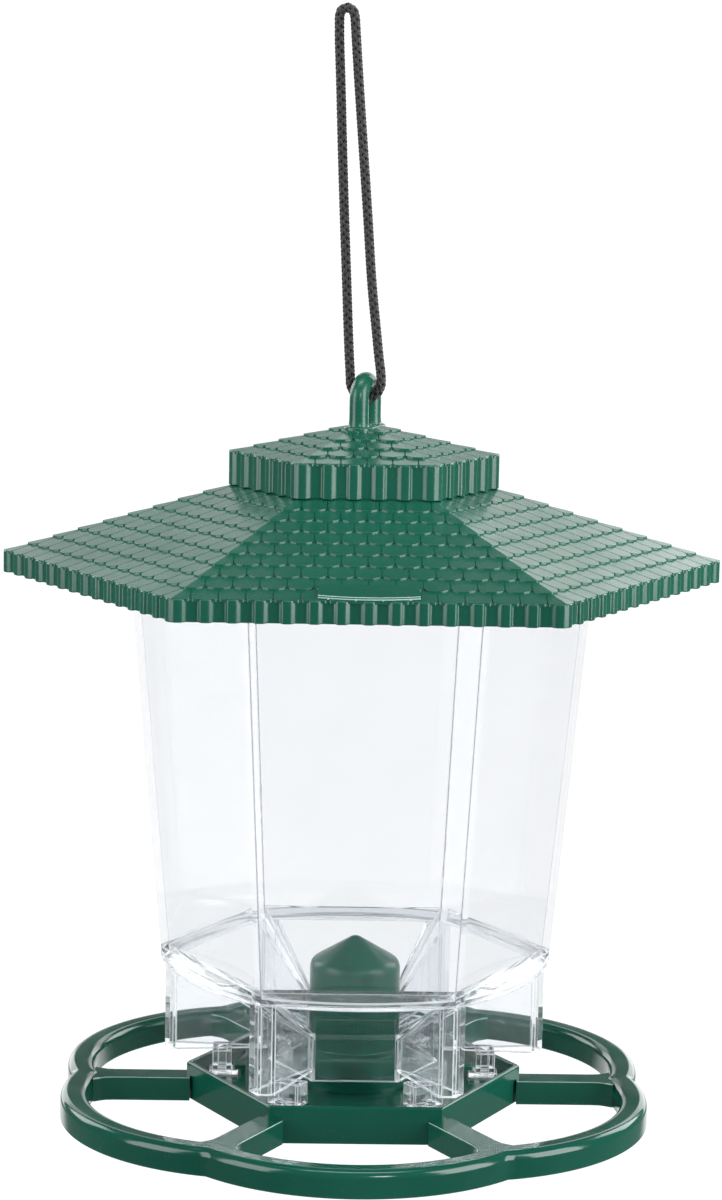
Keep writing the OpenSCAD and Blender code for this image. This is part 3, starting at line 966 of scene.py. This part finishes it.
def paper():
    """Pale paper: bright behind and under the feeder and beside it, dimmer elsewhere."""
    n = Nodes("pale_paper")
    split = n.tree.nodes.new("ShaderNodeSeparateXYZ")
    n.link(n.where, split.inputs["Vector"])
    x, y, z = (split.outputs[axis] for axis in "XYZ")
    shade = n.span(y, -0.5, 0.2, 0.3, 1.0)
    grain = n.ramp(n.noise(6, 2), (0.3, (0.115, 0.115, 0.115)), (0.7, (0.125, 0.125, 0.125)))
    n.link(n.mix(1.0, grain, shade, "MULTIPLY"), n.shader.inputs["Base Color"])
    n.shader.inputs["Roughness"].default_value = 0.9
    n.shader.inputs["Emission Color"].default_value = (1, 1, 1, 1)
    centre = n.span(n.maths("ABSOLUTE", x, 0.0), 0.42, 0.55, 1.0, 0.0)
    below = n.maths("MULTIPLY", centre, n.span(z, AXIS.z + 0.26, AXIS.z + 0.33, 1.0, 0.0))
    wall = n.maths("MULTIPLY", n.span(y, 1.3, 1.7, 0.0, 1.0),
                   n.span(z, AXIS.z + 0.62, AXIS.z + 0.74, 1.0, 0.0))
    wings = n.maths("MULTIPLY", wall, n.span(centre, 0.0, 1.0, 2.6, 0.0))
    band = n.maths("MULTIPLY", n.span(z, AXIS.z + 0.66, AXIS.z + 0.78, 0.0, 1.0),
                   n.span(z, AXIS.z + 1.12, AXIS.z + 1.22, 1.0, 0.0))
    above = n.maths("MULTIPLY", band, n.span(x, -0.4, 0.4, 1.6, 2.8))
    lit = n.maths("MAXIMUM", below, n.maths("MAXIMUM", wings, above))
    near = n.span(y, -0.5, 0.35, 0.08, 0.93)
    n.link(n.maths("MULTIPLY", near, n.span(lit, 0.0, 3.0, 0.03, 2.95)),
           n.shader.inputs["Emission Strength"])
    return n.mat


def plain_white():
    """The room's even white, a little brighter than paper so that it photographs as white."""
    n = Nodes("room_white")
    n.shader.inputs["Base Color"].default_value = (0.02, 0.02, 0.02, 1)
    n.shader.inputs["Roughness"].default_value = 1.0
    n.shader.inputs["Emission Color"].default_value = (1, 1, 1, 1)
    n.link(n.span(n.noise(3, 2), 0.3, 0.7, 1.045, 1.06), n.shader.inputs["Emission Strength"])
    return n.mat


def stage_object(name, points, faces, material):
    mesh = bpy.data.meshes.new(name)
    mesh.from_pydata(points, [], faces)
    mesh.shade_smooth()
    obj = bpy.data.objects.new(name, mesh)
    bpy.context.collection.objects.link(obj)
    mesh.materials.append(material)
    return obj


def make_stage():
    """A round white room, seen but not reflected, and the paper that the gloss reflects."""
    floor_z = AXIS.z - 0.42
    line = [(0.02, 0.0), (1.5, 0.0), (3.4, 0.0)]
    line += [(3.4 + math.sin(a), 1 - math.cos(a)) for a in (math.pi * i / 24 for i in range(1, 13))]
    line.append((4.4, 5.0))
    count = 64
    points = [(r * math.cos(t), r * math.sin(t), floor_z + z)
              for r, z in line for t in (2 * math.pi * i / count for i in range(count))]
    faces = [tuple(reversed(range(count)))]
    for i in range(len(line) - 1):
        for j in range(count):
            k = (j + 1) % count
            faces.append((i * count + j, i * count + k, (i + 1) * count + k, (i + 1) * count + j))
    room = stage_object("room", points, faces, plain_white())
    room.visible_diffuse = room.visible_glossy = room.visible_shadow = False

    line = [(-1.6, 0.0), (-0.8, 0.0), (0.0, 0.0), (1.2, 0.0)]
    for i in range(1, 13):
        a = math.pi / 2 * i / 12
        line.append((1.2 + 0.8 * math.sin(a), 0.8 - 0.8 * math.cos(a)))
    line.append((2.0, 1.85))
    points = [(x, y, floor_z + z) for y, z in line for x in (-1.3, 1.3)]
    faces = [(2 * i, 2 * i + 1, 2 * i + 3, 2 * i + 2) for i in range(len(line) - 1)]
    sweep = stage_object("sweep", points, faces, paper())
    sweep.visible_camera = sweep.visible_transmission = False


def light(name, at, size, power, aim=(0, 0, -0.2)):
    data = bpy.data.lights.new(name, "AREA")
    data.shape = "RECTANGLE"
    data.size, data.size_y = size
    data.energy = power
    lamp = bpy.data.objects.new(name, data)
    bpy.context.collection.objects.link(lamp)
    lamp.location = at
    lamp.rotation_euler = (Vector(aim) - Vector(at)).to_track_quat("-Z", "Y").to_euler()


def make_studio():
    make_stage()
    light("top", (0.0, -0.2, 1.3), (1.2, 0.9), 4)
    light("strip", (0.0, -0.25, 1.25), (0.9, 0.12), 3.5)
    light("side_left", (-1.18, -0.64, 0.15), (0.8, 1.3), 15)
    light("side_right", (1.18, -0.64, 0.15), (0.8, 1.3), 23)
    light("rim_left", (-1.25, 0.95, 0.5), (0.7, 0.9), 9)
    light("rim_right", (1.25, 0.95, 0.5), (0.7, 0.9), 11)
    light("front", (0.5, -1.9, 0.7), (0.35, 0.35), 7)
    world = bpy.data.worlds.new("studio")
    bpy.context.scene.world = world
    world.use_nodes = True
    world.node_tree.nodes["Background"].inputs["Color"].default_value = (0.9, 0.95, 1.0, 1)
    world.node_tree.nodes["Background"].inputs["Strength"].default_value = 0.17
    bpy.context.scene.view_settings.view_transform = "Standard"


make_studio()
